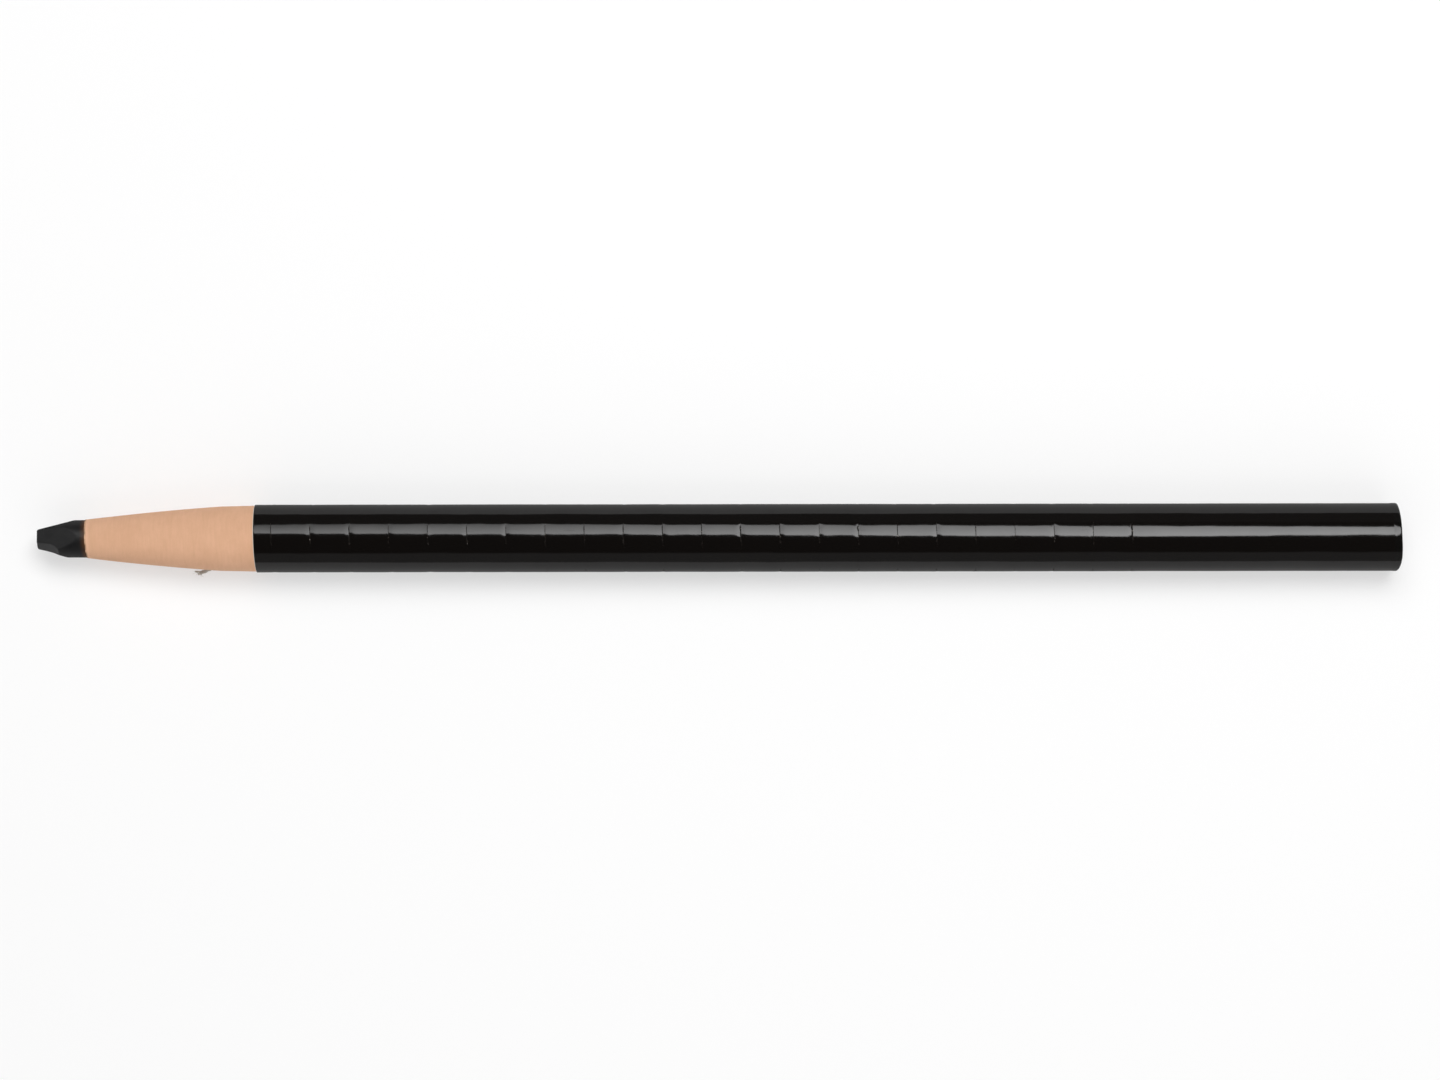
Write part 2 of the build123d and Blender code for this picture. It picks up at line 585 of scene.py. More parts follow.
waxLook = {
    "marks": {"scale": 420.0, "amount": 0.8},
    "freshGlintShade": (0.026, 0.026, 0.0265, 1),
    "freshGlintLight": (0.055, 0.055, 0.056, 1),
    "handledShade": (0.005, 0.005, 0.0052, 1),
    "handledLight": (0.014, 0.014, 0.0143, 1),
    "waxLipShadeColour": (0.064, 0.027, 0.010, 1),
    "waxLipShadeLevel": (0.20, 0.48),
    "cloudScale": 700.0,
    "cloudTone": 0.7,
    "cloudRoughness": 0.2,
    "cloudHeight": 0.5,
    "markTone": 0.6,
    "knifeScale": 5200.0,
    "knifeStretch": (0.12, 1.0, 1.0),
    "knifeRoughness": 0.12,
    "knifeHeight": 0.5,
    "roughness": 0.34,
    "smudgeWear": 0.3,
    "bumpDepth": 0.012 * mm,
}


def makeBlackWax(look):
    material, tree, shader = newFinish("blackWax")
    marks = placeGroup(tree, handlingMarks, look["marks"])
    point = objectPoint(tree)
    cloud = noiseField(tree, point, look["cloudScale"], detail=4.0, roughness=0.65)
    knife = noiseField(tree, stretched(tree, point, look["knifeStretch"]), look["knifeScale"])
    tone = (cloud * look["cloudTone"] + output(marks, "marks") * look["markTone"]).clamp()
    freshAndGlint = mixColour(tree, tone, look["freshGlintShade"], look["freshGlintLight"])
    handled = mixColour(tree, tone, look["handledShade"], look["handledLight"])
    # Cuts are paler than the handled round: partly fresh wax, and on one cut a painted highlight
    black = mixColour(tree, attributeField(tree, "freshCutAndGlint"), handled, freshAndGlint)
    # Painted shade: a brown band on the wax in front of the paper's lip
    waxLipShade = attributeField(tree, "byLip").ease() * cloud.ramp(*look["waxLipShadeLevel"])
    uneven = cloud * look["cloudRoughness"] + knife * look["knifeRoughness"]
    height = cloud * look["cloudHeight"] + knife * look["knifeHeight"]
    normal = bumpNormal(tree, height, look["bumpDepth"])
    setSockets(tree, shader, {
        "Base Color": mixColour(tree, waxLipShade, black, look["waxLipShadeColour"]),
        "Roughness": uneven + look["roughness"],
        "Normal": normal,
    })
    addFilm(tree, shader, waxSheen, 1 - output(marks, "smudge") * look["smudgeWear"], normal)
    return material


def whittle(distance, angle):  # radius left by the knife, and how pale the cut is painted: fresh wax, and a painted highlight on one cut
    limits = [coreRadius]
    tones = [0.0]
    for turn, reach, slope, scoopStart, scoopBend, freshness in wax["cuts"]:
        facing = math.cos(angle - math.radians(turn))
        cut = reach + slope * distance + scoopBend * max(0.0, distance - scoopStart) ** 2
        if facing > wax["leastFacing"]:
            limits.append(cut / facing)
            tones.append(freshness)
    lowest = min(limits)
    soft = wax["ridgeSoftness"]
    shares = [math.exp((lowest - limit) / soft) for limit in limits]
    tone = sum(share * tone for share, tone in zip(shares, tones)) / sum(shares)
    return lowest - soft * math.log(sum(shares)), tone


def placeWax(ring, angle):
    x, share = ring
    distance = x - tipX
    radius, _ = whittle(distance, angle)
    inset = max(0.0, 1 - distance / wax["edgeRound"])
    radius -= wax["edgeRound"] * (1 - math.sqrt(1 - inset ** 2))
    bare = max(0.0, 1 - distance / wax["exposedLength"])
    waver = unevenness(x, angle, *wax["waverNoise"]) - wax["waverSink"]
    radius += wax["waver"] * min(1.0, wax["waverFade"] * bare) * waver
    return x, radius * share


def makeWaxCore(material):
    angles = fullTurn(wax["columns"])
    edgeEnd = tipX + wax["edgeRound"]
    edgeTurns = spread(0, math.pi / 2, wax["edgeRings"])
    bareStations = spread(edgeEnd, tipX + wax["exposedLength"], wax["exposedRings"])[1:]
    face = [(tipX, share) for share in wax["faceShares"]]
    side = [(tipX + wax["edgeRound"] * (1 - math.cos(turn)), 1) for turn in edgeTurns]
    side += [(x, 1) for x in bareStations]
    side += [(sealX, 1), (sealX, wax["rearShare"])]
    rings = face + side
    piece = turnedSkin("waxCore", rings, angles, placeWax, material, poles=True, crease=wax["crease"])

    # The last two values are for the poles, at the tip and at the rear
    tones = [wax["endFreshness"]] * (len(face) * len(angles))
    tones += [whittle(x - tipX, angle)[1] for x, _ in side for angle in angles]
    markPoints(piece, "freshCutAndGlint", tones + [wax["endFreshness"], 0.0])
    # Painted shade along the paper's lip, stored for each point
    gaps = [paperFront + lipShift(angle) - x for x, _ in rings for angle in angles]
    waxLipShades = [min(1.0, max(0.0, 1 - gap / wax["waxLipShadeReach"])) for gap in gaps]
    markPoints(piece, "byLip", waxLipShades + [0.0, 1.0])
    return piece


# Dipped end

dip = {
    "shortfall": 0.19 * mm,          # the lacquer has run back a little from the end's full length
    "frontTilt": 0.25 * mm,          # how far the end stands out on the string side
    "backTilt": 0.16 * mm,           # and how far it falls back on the other
    "tiltLevel": 1.6,                # the lower, the more it levels off at the string side's edge
    "corner": 0.18 * mm,
    "frontCornerLength": 0.26 * mm,
    "frontCornerDepth": 1.02 * mm,
    "frontCornerSpread": 4,          # the higher, the less of the edge has that corner
    "backCorner": 0.07 * mm,
    "underCorner": 0.25 * mm,
    "waver": 0.03 * mm,
    "waverRound": (0.2, 1.5),        # waves round, at the middle and added at the edge
    "waverSeed": 6.3,
    "brimDrop": 0.02 * mm,
    "brimCurve": 4,
    "boreShare": 0.973,
    "innerShares": (0.05, 0.5, 1.0),
    "skirtShares": (0.04, 0.1, 0.2, 0.4, 0.7),
    "endShares": (0.9, 0.75, 0.55, 0.35, 0.15, 0.03),
    "cornerRings": 12,
    "columns": 180,
}
dipLook = {
    "marks": {"scale": 300.0, "amount": 0.8},
    "shade": (0.0032, 0.0028, 0.0026, 1),
    "light": (0.0058, 0.0052, 0.0048, 1),
    "rippleScale": 520.0,
    "rippleDepth": 0.02 * mm,
}


def makeBlackLacquer(look):
    material, tree, shader = newFinish("blackLacquer")
    marks = placeGroup(tree, handlingMarks, look["marks"])
    ripple = noiseField(tree, objectPoint(tree), look["rippleScale"])
    normal = bumpNormal(tree, ripple, look["rippleDepth"])
    wear = varnishWear(marks)
    setSockets(tree, shader, {
        "Base Color": mixColour(tree, ripple, look["shade"], look["light"]),
        "Roughness": wear + varnish["inkRoughness"],
        "Normal": normal,
    })
    addFilm(tree, shader, varnish, 1 - wear, normal)
    return material


def dipCorner(angle):
    toFront = max(0.0, math.sin(angle)) ** dip["frontCornerSpread"]
    toBack = max(0.0, -math.sin(angle))
    under = max(0.0, -math.cos(angle))
    others = dip["corner"] + dip["backCorner"] * toBack + dip["underCorner"] * under
    return others + dip["frontCornerLength"] * toFront, others + dip["frontCornerDepth"] * toFront


def dipEnd(radius, angle):
    outward = radius / barrelRadius
    aside = outward * math.sin(angle)
    tilt = dip["frontTilt"] if aside > 0 else dip["backTilt"]
    middle, added = dip["waverRound"]
    bulge = dip["waver"] * unevenness(0.0, angle, 1.0, added * outward + middle, dip["waverSeed"])
    return lacquerHigh.x - dip["shortfall"] + tilt * aside * min(1.0, dip["tiltLevel"] - aside) + bulge


def placeDip(ring, angle):
    kind, along = ring
    length, depth = dipCorner(angle)
    bore = barrelRadius * dip["boreShare"]
    brimX = lacquerLow.x + label["rowSlant"] * math.sin(angle)
    flat = barrelRadius - depth
    if kind == "inner":
        return sealX, bore * along
    if kind == "brim":
        return brimX, bore + (barrelRadius - dip["brimDrop"] - bore) * along
    if kind == "skirt":
        rear = dipEnd(barrelRadius, angle) - length
        drop = dip["brimDrop"] * (1 - along) ** dip["brimCurve"]
        return brimX + (rear - brimX) * along, barrelRadius - drop
    if kind == "corner":
        radius = flat + depth * math.cos(along)
        return dipEnd(radius, angle) - length * (1 - math.sin(along)), radius
    return dipEnd(flat * along, angle), flat * along


def makeEndLacquer(material):
    rings = [("inner", share) for share in dip["innerShares"]]
    rings += [("brim", share) for share in (0.0, 1.0)]
    rings += [("skirt", share) for share in dip["skirtShares"]]
    rings += [("corner", turn) for turn in spread(0, math.pi / 2, dip["cornerRings"])]
    rings += [("end", share) for share in dip["endShares"]]
    return turnedSkin("endLacquer", rings, fullTurn(dip["columns"]), placeDip, material, poles=True)


# Label: one tree makes every stretch of it, with a row of knife slits at its rear

label = {
    "outer": barrelRadius,
    "axisHeight": axisHeight,
    "wall": 0.12 * mm,
    "slitCount": 4,
    "slitLength": 3.4 * mm,
    "slitWidth": 0.075 * mm,
    "openLeast": 0.5,                # random width of each slit, against slitWidth
    "openMost": 1.4,
    "slitTurn": math.radians(-5),
    "slitTaper": 0.8 * mm,           # length over which a slit narrows at its ends
    "slitLean": -0.45,               # how much wider a slit is at one end than at the other
    "slitTone": 0.014,               # painted shade on a slit's walls: how pale they stay, against bare paper
    "slitShade": 0.12,               # share of a slit's width at which its painted shade is full
    "rowSlant": 0.12 * mm,           # every cut edge sits further back on the string side
    "lift": 0.03 * mm,
    "liftLeast": -1.0,               # random lift of each slit's edges, against lift
    "liftMost": 0.5,
    "liftReach": 0.50 * mm,
    "rimReach": 0.10 * mm,
    "waveDepth": 0.050 * mm,
    "waveAlong": 150.0,              # waves per metre, along the barrel and round it
    "waveRound": 330.0,
    "bevel": 0.0,                    # only the label's front edge has one
    "bevelReach": 0.07 * mm,
    "frontSlits": 1.0,               # 1 for an edge with slits, 0 for a plain edge
    "rearSlits": 1.0,
    "crowding": 0.55,                # how far the steps crowd towards the two ends
    "longSteps": 22,
    "roundSteps": 208,
    "endSteps": 2,
    "boreSteps": 4,
    "weldGap": 0.0004 * mm,
    "crease": 0.6,                   # edges that turn by more than this, in radians, stay sharp
    "seed": 11,
}
frontEdge = {"frontSlits": 0.0, "bevel": 0.05 * mm}
rearStepLength = 0.36 * mm
rearStretch = {"rearSlits": 0.0, "longSteps": round((labelHigh.x - labelLow.x) / rearStepLength)}
labelLook = {
    "marks": {"scale": 260.0, "amount": 0.7},
    "grain": {"scale": 900.0, "contrast": 1.2},
    "ink": (0.0042, 0.0034, 0.0030, 1),
    "scuffedInkAndGlint": (0.028, 0.023, 0.020, 1),
    "paperShade": (0.70, 0.65, 0.58, 1),
    "paperLight": (0.92, 0.89, 0.84, 1),
    "paperRoughness": 0.5,
    "fleckScale": 2600.0,            # flecks along a slit's rims: scuffed ink lightened as a painted glint of the lifted edges, and nicks to the paper
    "scuffAndGlintLevel": (0.50, 0.62),
    "scuffRoughness": 0.2,
    "scuffWear": 0.5,
    "nickLevel": (0.735, 0.775),
    "nickGain": 0.12,
    "nickRim": (0.1, 0.4),
    "nickTone": 0.30,
    "peelScale": 1500.0,             # slight orange peel of the varnish
    "peelDepth": 0.002 * mm,
    "markHeight": -0.6,
}


def makeGlossLabel(look):
    material, tree, shader = newFinish("glossLabel")
    marks = placeGroup(tree, handlingMarks, look["marks"])
    grain = placeGroup(tree, paperGrain, look["grain"])
    point = objectPoint(tree)
    rim = attributeField(tree, "slitRim")
    fleck = noiseField(tree, point, look["fleckScale"], detail=3.0, roughness=0.65)
    # Rim flecks: scuffed ink, lightened as a painted glint where the slit's edges lift
    scuffAndGlint = fleck.ramp(*look["scuffAndGlintLevel"]) * rim
    nick = (fleck + rim * look["nickGain"]).ramp(*look["nickLevel"]) * rim.ramp(*look["nickRim"])
    pale = (attributeField(tree, "bareCut") + nick * look["nickTone"]).clamp()
    ink = mixColour(tree, scuffAndGlint, look["ink"], look["scuffedInkAndGlint"])
    paper = mixColour(tree, output(grain, "tone"), look["paperShade"], look["paperLight"])
    wear = varnishWear(marks)
    roughness = wear + pale * look["paperRoughness"] + scuffAndGlint * look["scuffRoughness"]
    peel = noiseField(tree, point, look["peelScale"])
    height = peel + output(marks, "marks") * look["markHeight"]
    setSockets(tree, shader, {
        "Base Color": mixColour(tree, pale, ink, paper),
        "Roughness": roughness + varnish["inkRoughness"],
        "Normal": bumpNormal(tree, height, look["peelDepth"]),
    })
    cover = (1 - wear) * (1 - pale) * (1 - scuffAndGlint * look["scuffWear"])
    addFilm(tree, shader, varnish, cover, bumpNormal(tree, peel, look["peelDepth"]))
    return material


def near(distance, reach):  # 1 at an edge, 0 from reach onwards
    return (1 - distance / reach).clamp()


def makeSlitCollarTree():
    tree, size, result = makeGeometryTree("slitCollar", {**label, "front": 0.0, "rear": 0.0, "row": 0})
    rows = size.longSteps + size.endSteps + size.boreSteps + size.endSteps
    sheet = addNode(tree, "GeometryNodeMeshGrid", {
        "Size X": 1.0, "Size Y": 1.0, "Vertices X": size.roundSteps + 1, "Vertices Y": rows + 1})

    # The flat sheet's two directions run round the barrel and round the wall's outline
    across, upward, _ = splitVector(output(addNode(tree, "GeometryNodeInputPosition")))
    angle = (across + 0.5) * math.tau
    sine = angle.math("SINE")
    cosine = angle.math("COSINE")
    step = (upward + 0.5) * rows
    rearStep = step - size.longSteps
    boreStep = rearStep - size.endSteps
    frontStep = boreStep - size.boreSteps
    depth = (rearStep / size.endSteps).clamp() - (frontStep / size.endSteps).clamp()
    even = (step / size.longSteps).clamp() - (boreStep / size.boreSteps).clamp()
    eased = (1 - (even * math.pi).math("COSINE")) * (size.crowding / 2)
    along = even * (1 - size.crowding) + eased

    # Where a point stands in its slit, and that slit's own random values
    period = math.tau / size.slitCount
    number = ((angle - size.slitTurn) / period).math("ROUND")
    aside = (angle - size.slitTurn - number * period) * size.outer
    half = size.slitLength / 2
    inSlit = ((half - aside.math("ABSOLUTE")) / size.slitTaper).clamp().ease()
    slitIndex = number.math("FLOORED_MODULO", size.slitCount)

    def slitRandom(row, low, high, draw):
        identity = row * size.slitCount + slitIndex + 0.5
        return randomField(tree, "FLOAT", low, high, identity, size.seed + draw)

    # The rear edge is cut back where a slit gapes, and both edges lift or sink a little
    opening = slitRandom(size.row, size.openLeast, size.openMost, 0) * (1 + size.slitLean * aside / half)
    notch = inSlit * size.rearSlits * size.slitWidth * opening
    rear = size.rear - notch * (1 - depth)
    x = size.front + along * (rear - size.front)
    fromRear = rear - x
    fromFront = x - size.front
    rearLift = slitRandom(size.row, size.liftLeast, size.liftMost, 1) * size.rearSlits
    frontLift = slitRandom(size.row - 1, size.liftLeast, size.liftMost, 2) * size.frontSlits
    curl = 1 + aside / half * slitRandom(size.row, -1.0, 1.0, 3)
    lifted = near(fromRear, size.liftReach) * rearLift * curl + near(fromFront, size.liftReach) * frontLift
    lift = lifted * inSlit * size.lift

    # The skin waves inwards only, so the barrel keeps its diameter
    girth = size.outer * size.waveRound
    spot = joinVector(tree, x * size.waveAlong, cosine * girth, sine * girth)
    wave = noiseField(tree, spot, 1.0, detail=2.0, roughness=0.4) * size.waveDepth
    bevel = near(fromFront, size.bevelReach) * size.bevel
    skin = (size.outer + lift - wave - bevel).math("MINIMUM", size.outer)
    radius = skin * (1 - depth) + (size.outer - size.wall) * depth
    height = size.axisHeight + radius * cosine
    place = joinVector(tree, x + sine * size.rowSlant, radius * sine * -1, height)

    # Bare paper shows at the cut ends and on the bevel, with painted shade on it inside a slit
    shaded = inSlit.ramp(0.0, size.slitShade) * (1 - size.slitTone)
    bare = depth.math("GREATER_THAN", 0.01) * (1 - shaded)
    bevelled = size.bevel.math("GREATER_THAN", 0.0) * fromFront.math("LESS_THAN", size.bevelReach)
    rearRim = near(fromRear, size.rimReach) * size.rearSlits
    frontRim = near(fromFront, size.rimReach) * size.frontSlits
    marked = storeField(tree, output(sheet), "bareCut", bare.math("MAXIMUM", bevelled), "FACE")
    marked = storeField(tree, marked, "slitRim", (rearRim + frontRim) * inSlit)
    wrapped = output(addNode(tree, "GeometryNodeSetPosition", {"Geometry": marked, "Position": place}))
    welded = addNode(tree, "GeometryNodeMergeByDistance", {"Geometry": wrapped, "Distance": size.weldGap})
    bend = output(addNode(tree, "GeometryNodeInputMeshEdgeAngle"), "Unsigned Angle")
    creased = addNode(tree, "GeometryNodeSetShadeSmooth", {
        "Geometry": shadeSmooth(tree, output(welded)),
        "Selection": bend.math("GREATER_THAN", size.crease),
        "Shade Smooth": False,
    }, domain="EDGE")
    finishGeometry(tree, output(creased), size.finish, result)
    return tree


def makeLabel(name, node, row, choices, tree, material):
    low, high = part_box(node)
    values = {**label, **choices, "front": low.x, "rear": high.x, "row": row, "finish": material}
    return growMesh(name, tree, values, bpy.data.meshes.new(name + "Base"))


# Tear string: twisted strands along one route, frayed at the free end

string = {
    "strands": 3,
    "sides": 8,
    "strandRadius": 0.127 * mm,
    "layRadius": 0.146 * mm,
    "pitch": 1.9 * mm,
    "step": 0.12 * mm,
    "frayLength": 1.1 * mm,
    "fraySpread": 0.14 * mm,
    "randomSpread": 0.0,
    "stagger": 1.20 * mm,            # length over which the strands end one after the other
    "thinning": 0.10,
    "runShift": 0.01,                # keeps the fibre pattern of one strand off the next
    "seed": 5,
}
looseFibres = {                      # what differs for the loose fibres round the frayed end
    "strands": 34,
    "sides": 4,
    "strandRadius": 0.011 * mm,
    "layRadius": 0.1898 * mm,
    "pitch": 5.7 * mm,
    "fraySpread": 0.0,
    "randomSpread": 0.42 * mm,
}
stringRoute = {
    "laidPoints": 12,
    "tailPath": [                    # distance from the pivot and rise out of the groove, in mm
        (-1.6, 0.0), (-3.5, 0.0), (-4.8, 0.0), (-5.2, 0.0),
        (-5.7, 0.20), (-6.2, 0.50), (-6.7, 0.66), (-7.3, 0.70),
    ],
    "fibrePoints": 4,                # the loose fibres follow the last points of the tail
    "resolution": 24,
    "bendLength": 0.9 * mm,
}
stringLook = {
    "grain": {"scale": 1500.0, "contrast": 1.4},
    "shade": (0.36, 0.33, 0.285, 1),
    "light": (0.66, 0.62, 0.56, 1),
    "grainTone": 0.5,
    "grainHeight": 0.5,
    "fibreTone": 0.5,
    "fibreScale": 14.0,
    "fibreRun": 500,                 # lengths of the fibre pattern per metre of strand
    "roughness": 0.9,
    "sheen": 0.25,
    "bumpDepth": 0.02 * mm,
}


def makeCottonString(look):
    material, tree, shader = newFinish("cottonString")
    grain = placeGroup(tree, paperGrain, look["grain"])
    run = attributeField(tree, "strandRun") * look["fibreRun"]
    spot = joinVector(tree, attributeField(tree, "strandTurn"), run, 0.0)
    fibre = noiseField(tree, spot, look["fibreScale"])
    tone = (output(grain, "tone") * look["grainTone"] + fibre * look["fibreTone"]).clamp()
    height = fibre + output(grain, "height") * look["grainHeight"]
    setSockets(tree, shader, {
        "Base Color": mixColour(tree, tone, look["shade"], look["light"]),
        "Roughness": look["roughness"],
        "Sheen Weight": look["sheen"],
        "Normal": bumpNormal(tree, height, look["bumpDepth"]),
    })
    return material


def makeTwistedStrandTree():
    tree, size, result = makeGeometryTree("twistedStrand", string)
    route = addNode(tree, "GeometryNodeResampleCurve", {
        "Curve": size.geometry, "Length": size.step}, mode="LENGTH")
    copies = addNode(tree, "GeometryNodeDuplicateElements", {
        "Geometry": output(route), "Amount": size.strands}, domain="SPLINE")
    number = output(copies, "Duplicate Index")
    share = number / size.strands
    run = output(addNode(tree, "GeometryNodeSplineParameter"), "Length")
    total = output(addNode(tree, "GeometryNodeSplineLength"), "Length")
    fray = (1 - (total - run) / size.frayLength).clamp()
    opened = fray * fray

    # Each strand winds round the route up to where the fraying starts, and then runs on straight
    twisted = run.math("MINIMUM", total - size.frayLength) - total + size.frayLength
    turn = (twisted / size.pitch + share) * math.tau
    tangent = output(addNode(tree, "GeometryNodeInputTangent"))
    normal = output(addNode(tree, "GeometryNodeInputNormal"))
    aside = tangent.vector("CROSS_PRODUCT", normal)
    sideways = aside.vector("SCALE", turn.math("SINE"))
    outward = normal.vector("SCALE", turn.math("COSINE")).vector("ADD", sideways)
    wander = randomField(tree, "FLOAT_VECTOR", (-1.0, -1.0, -1.0), (1.0, 1.0, 1.0), number, size.seed)
    laid = outward.vector("SCALE", size.layRadius + size.fraySpread * opened)
    strayed = wander.vector("SCALE", size.randomSpread * opened)
    shortened = tangent.vector("SCALE", share * size.stagger * opened * -1)
    offset = laid.vector("ADD", strayed).vector("ADD", shortened)
    moved = output(addNode(tree, "GeometryNodeSetPosition", {"Geometry": output(copies), "Offset": offset}))
    strand = storeField(tree, moved, "strandRun", run + number * size.runShift)

    ring = addNode(tree, "GeometryNodeCurvePrimitiveCircle", {
        "Resolution": size.sides, "Radius": size.strandRadius}, mode="RADIUS")
    roundRing = output(addNode(tree, "GeometryNodeSplineParameter"), "Factor")
    section = storeField(tree, output(ring), "strandTurn", roundRing)
    swept = addNode(tree, "GeometryNodeCurveToMesh", {
        "Curve": strand, "Profile Curve": section, "Scale": 1 - opened * size.thinning, "Fill Caps": True})
    finishGeometry(tree, shadeSmooth(tree, output(swept)), size.finish, result)
    return tree


def routeCurve(name, points):
    curve = bpy.data.curves.new(name, "CURVE")
    curve.dimensions = "3D"
    curve.resolution_u = stringRoute["resolution"]
    spline = curve.splines.new("NURBS")
    spline.points.add(len(points) - 1)
    for spot, (x, rise) in zip(spline.points, points):
        spot.co = (*polar(x, stringRadial + rise, stringAngle), 1)
    spline.order_u = 3
    spline.use_endpoint_u = True
    return curve


def makeString(tree, material):
    laid = [(x, 0.0) for x in spread(sealX, pivotX, stringRoute["laidPoints"])]
    tail = [(pivotX + x * mm, rise * mm) for x, rise in stringRoute["tailPath"]]
    strandRoute = routeCurve("stringRoute", laid + tail)
    fibreRoute = routeCurve("fibreRoute", tail[-stringRoute["fibrePoints"]:])
    strands = growMesh("pullString", tree, {**string, "finish": material}, strandRoute)
    fibres = growMesh("frayedFibres", tree, {**string, **looseFibres, "finish": material}, fibreRoute)
    return strands, fibres


# Build every piece and set it on its body

glossLabel = makeGlossLabel(labelLook)
kraftPaper = makeKraftPaper(kraftLook)
blackWax = makeBlackWax(waxLook)
cottonString = makeCottonString(stringLook)
blackLacquer = makeBlackLacquer(dipLook)
print("finishes made")

kraftWrap = makeKraftWrap(kraftPaper)
waxCore = makeWaxCore(blackWax)
endLacquer = makeEndLacquer(blackLacquer)
for piece, node, slot in (
    (kraftWrap, "kraft_wrap", "kraft_paper"),
    (waxCore, "wax_core", "black_wax"),
    (endLacquer, "end_lacquer", "black_lacquer"),
):
    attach(piece, "barrel")
    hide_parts(node)
print("core, paper and dipped end made")

slitCollar = makeSlitCollarTree()
labels = [("frontBand", "front_band", "front_band", frontEdge)]
labels += [("collar" + name[-2:], name, name, {}) for name in collarNames]
labels += [("rearLabel", "rear_label", "barrel", rearStretch)]
for row, (name, node, body, choices) in enumerate(labels):
    piece = makeLabel(name, node, row, choices, slitCollar, glossLabel)
    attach(piece, body)
    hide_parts(node)
print("label made in", len(labels), "stretches")

twistedStrand = makeTwistedStrandTree()
pullString, frayedFibres = makeString(twistedStrand, cottonString)
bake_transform(pullString)
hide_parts("pull_string", "string_tail")
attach(frayedFibres, "string_tail")
print("string made")


# Studio

studio = {
    "cameraDistance": 0.600,         # from the barrel's axis, straight above it
    "frameWidth": 188.06 * mm,       # what the frame spans in the plane of the axis
    "sensorWidth": 36.0,
    "cameraX": 0.20 * mm,
    "cameraY": -0.27 * mm,
    "cameraRoll": math.radians(-0.084),
    "floorSize": 40.0,
    "floorTone": 0.95,
    "floorRoughness": 0.9,
    "floorGlow": 0.5,                # share of plain white in what is seen of the floor near the marker
    "farGlow": 0.9,                  # and beyond the reach of the lamps
    "lampReach": (0.20, 0.75),       # where the lamps' light starts to fall off and where it has gone
    "skyTop": 0.02,
    "skyFront": 0.30,                # the sky's level towards the string side
    "skyBack": 0.10,
    "skySides": (0.64, 0.58),        # height at which the top gives way to the sides
    "skyTurn": (-0.3, 0.3),          # depth over which the front gives way to the back
}
softboxes = {                        # tilt from straight up towards +Y and turn in degrees, sizes in metres
    "keySoftbox": {
        "tilt": 26.7, "turn": -36, "distance": 0.70, "offset": 0.02, "length": 0.56, "width": 0.35,
        "power": 3.45, "gradient": (0.37, 1.86), "inGloss": True},
    "fillSoftbox": {
        "tilt": -48, "turn": 0, "distance": 0.90, "offset": 0.0, "length": 1.6, "width": 0.8,
        "power": 3.0, "gradient": (1.0, 1.0), "inGloss": False},
    "topSoftbox": {
        "tilt": 0, "turn": 0, "distance": 1.10, "offset": 0.0, "length": 2.0, "width": 1.6,
        "power": 4.1, "gradient": (1.0, 1.0), "inGloss": False},
}


def makeCamera():
    camera = bpy.data.cameras.new("photoCamera")
    camera.sensor_width = studio["sensorWidth"]
    camera.lens = studio["sensorWidth"] * studio["cameraDistance"] / studio["frameWidth"]
    holder = bpy.data.objects.new("photoCamera", camera)
    holder.location = (studio["cameraX"], studio["cameraY"], axisHeight + studio["cameraDistance"])
    holder.rotation_euler = (0, 0, studio["cameraRoll"])
    bpy.context.collection.objects.link(holder)
    bpy.context.scene.camera = holder


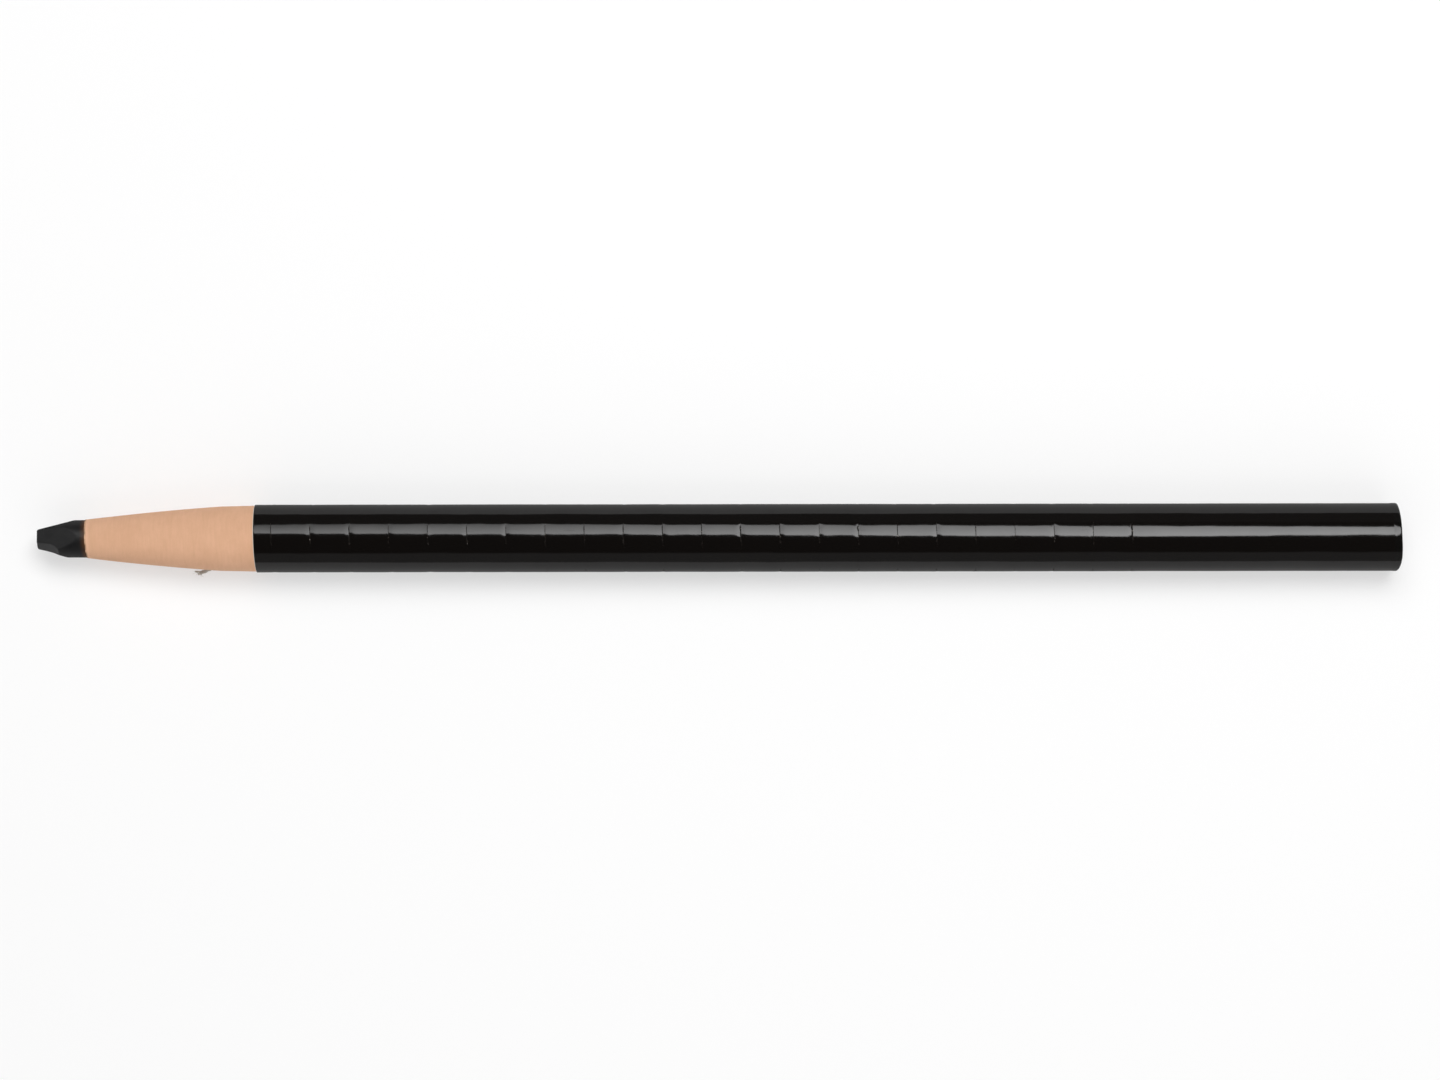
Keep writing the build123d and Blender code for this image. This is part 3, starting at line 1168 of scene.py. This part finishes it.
def makeSoftbox(name, box):
    lamp = bpy.data.lights.new(name, "AREA")
    lamp.shape = "RECTANGLE"
    lamp.size = box["length"]
    lamp.size_y = box["width"]
    lamp.energy = box["power"]
    lamp.use_nodes = True
    tree = lamp.node_tree
    along, _, _ = splitVector(output(addNode(tree, "ShaderNodeNewGeometry"), "Parametric"))
    left, right = box["gradient"]
    feed(tree, tree.nodes["Emission"].inputs["Strength"], along * (right - left) + left)
    tilt = math.radians(box["tilt"])
    distance = box["distance"]
    aim = Euler((-tilt, 0, 0)).to_matrix() @ Euler((0, 0, math.radians(box["turn"]))).to_matrix()
    holder = bpy.data.objects.new(name, lamp)
    holder.location = (box["offset"], distance * math.sin(tilt), axisHeight + distance * math.cos(tilt))
    holder.rotation_euler = aim.to_euler()
    holder.visible_glossy = box["inGloss"]
    holder.visible_camera = False
    bpy.context.collection.objects.link(holder)


def makeFloor():
    half = studio["floorSize"] / 2
    corners = [(-half, -half, 0), (half, -half, 0), (half, half, 0), (-half, half, 0)]
    mesh = bpy.data.meshes.new("floor")
    mesh.from_pydata(corners, [], [(0, 1, 2, 3)])
    material, tree, shader = newFinish("paleFloor")
    tone = studio["floorTone"]
    setSockets(tree, shader, {
        "Base Color": (tone, tone, tone, 1),
        "Roughness": studio["floorRoughness"],
        "Specular IOR Level": 0.0,
    })

    # Part of what is seen is plain white, so the floor stays pale and still takes the shadow
    glow = addNode(tree, "ShaderNodeEmission", {"Color": (1, 1, 1, 1), "Strength": 1.0})
    path = addNode(tree, "ShaderNodeLightPath")
    mirrored = output(path, "Is Glossy Ray") + output(path, "Is Transmission Ray")
    seen = output(path, "Is Camera Ray") + mirrored
    x, y, _ = splitVector(objectPoint(tree))
    dark = (x * x + y * y).math("SQRT").ramp(*studio["lampReach"])
    white = studio["floorGlow"] + dark * (studio["farGlow"] - studio["floorGlow"])
    blended = addNode(tree, "ShaderNodeMixShader", {"Fac": seen.clamp() * white})
    tree.links.new(shader.outputs[0], blended.inputs[1])
    tree.links.new(glow.outputs[0], blended.inputs[2])
    tree.links.new(blended.outputs[0], tree.nodes["Material Output"].inputs["Surface"])
    mesh.materials.append(material)
    addPiece("floor", mesh)


def makeWorld():
    world = bpy.data.worlds.new("studioWorld")
    bpy.context.scene.world = world
    world.use_nodes = True
    tree = world.node_tree
    direction = output(addNode(tree, "ShaderNodeTexCoord"), "Generated")
    _, depth, height = splitVector(direction)
    side = height.ramp(*studio["skySides"])
    back = depth.ramp(*studio["skyTurn"])
    around = studio["skyFront"] + back * (studio["skyBack"] - studio["skyFront"])
    setSockets(tree, tree.nodes["Background"], {
        "Color": (1, 1, 1, 1), "Strength": studio["skyTop"] + side * (around - studio["skyTop"])})


makeCamera()
for name, box in softboxes.items():
    makeSoftbox(name, box)
makeFloor()
makeWorld()
bpy.context.scene.view_settings.view_transform = "Standard"
print("studio made")
